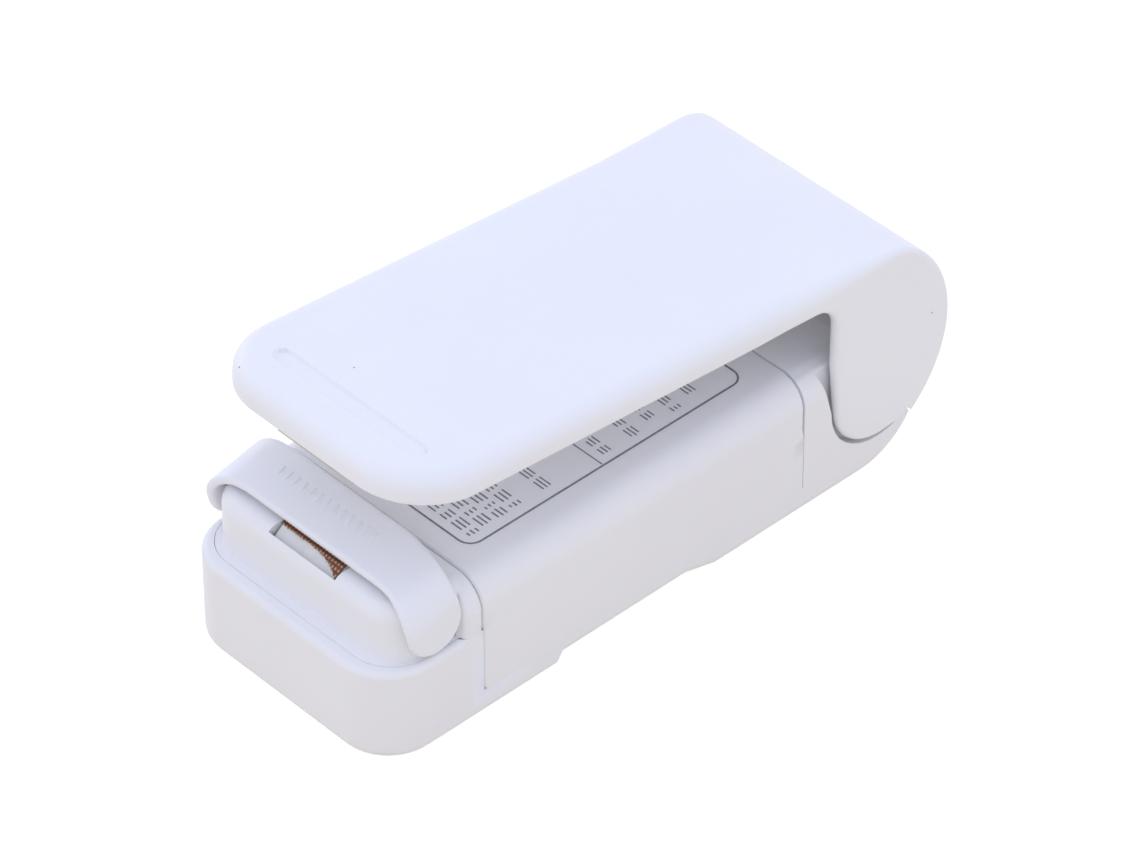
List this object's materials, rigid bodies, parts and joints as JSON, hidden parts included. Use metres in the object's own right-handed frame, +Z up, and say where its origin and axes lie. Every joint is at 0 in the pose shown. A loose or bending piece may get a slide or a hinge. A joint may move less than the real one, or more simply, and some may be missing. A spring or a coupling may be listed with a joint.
{
  "type": "hand-held bag heat sealer",
  "caption": "Battery-powered hand-held heat sealer: a sprung arm presses a bag onto a heated tip behind a swinging guard.",
  "frame": {"origin": "centre of the footprint on the plane the case rests on", "axes": "+X to the right seen from the nose, +Y from the nose to the hinge, +Z up"},
  "size_m": [0.037, 0.0918, 0.0394],
  "materials": {
    "white_abs": "satin",
    "guard_abs": "satin",
    "arm_abs": "satin",
    "screw_steel": "zinc plated",
    "pin_steel": "ground",
    "spring_steel": "drawn wire",
    "cell_jacket": "shrink sleeve, plain",
    "nickel_strip": "nickel plated",
    "copper_strip": "phosphor bronze",
    "red_lead": "satin",
    "black_lead": "satin",
    "phenolic": "moulded",
    "heater_insulator": "smooth",
    "resistance_ribbon": "rolled",
    "glass_cloth_tape": "woven, coated",
    "silicone": "satin"
  },
  "bodies": {
    "case": {"lower_case": "white_abs", "upper_cover": "white_abs", "nose_cover": "white_abs", "case_screws": "screw_steel", "battery_left": "cell_jacket", "battery_right": "cell_jacket", "contact_positive": "nickel_strip", "contact_negative": "nickel_strip", "contact_bridge": "nickel_strip", "wire_red": "red_lead", "wire_black": "black_lead", "feed_plate": "copper_strip", "switch_blade_in": "copper_strip", "switch_blade_out": "copper_strip", "hinge_pin": "pin_steel"},
    "arm": {"arm_shell": "arm_abs", "presser_pad": "silicone", "arm_spring": "spring_steel"},
    "guard": {"safety_guard": "guard_abs"},
    "heater": {"heater_carrier": "phenolic", "heater_block": "heater_insulator", "heating_element": "resistance_ribbon", "release_tape": "glass_cloth_tape", "switch_bridge": "copper_strip", "feed_springs": "spring_steel"},
    "door": {"battery_door": "white_abs"}
  },
  "joints": [
    {"name": "arm_press", "type": "hinge", "parent": "case", "child": "arm", "pos_m": [0, 0.0346, 0.0131], "axis": [1, 0, 0], "range_deg": [0, 9.5], "stiffness_Nm_per_rad": 0.45, "springref_deg": -8.59},
    {"name": "guard_swing", "type": "hinge", "parent": "case", "child": "guard", "pos_m": [0, -0.0373, 0.018], "axis": [-1, 0, 0], "range_deg": [0, 13]},
    {"name": "heater_press", "type": "slide", "parent": "case", "child": "heater", "axis": [0, 0, -1], "range_m": [0, 0.0008], "stiffness_N_per_m": 1500, "springref_m": -0.0001, "deforming": ["feed_springs"]},
    {"name": "door_swing", "type": "hinge", "parent": "case", "child": "door", "pos_m": [0, -0.0281, 0.0009], "axis": [-1, 0, 0], "range_deg": [0, 90]}
  ]
}
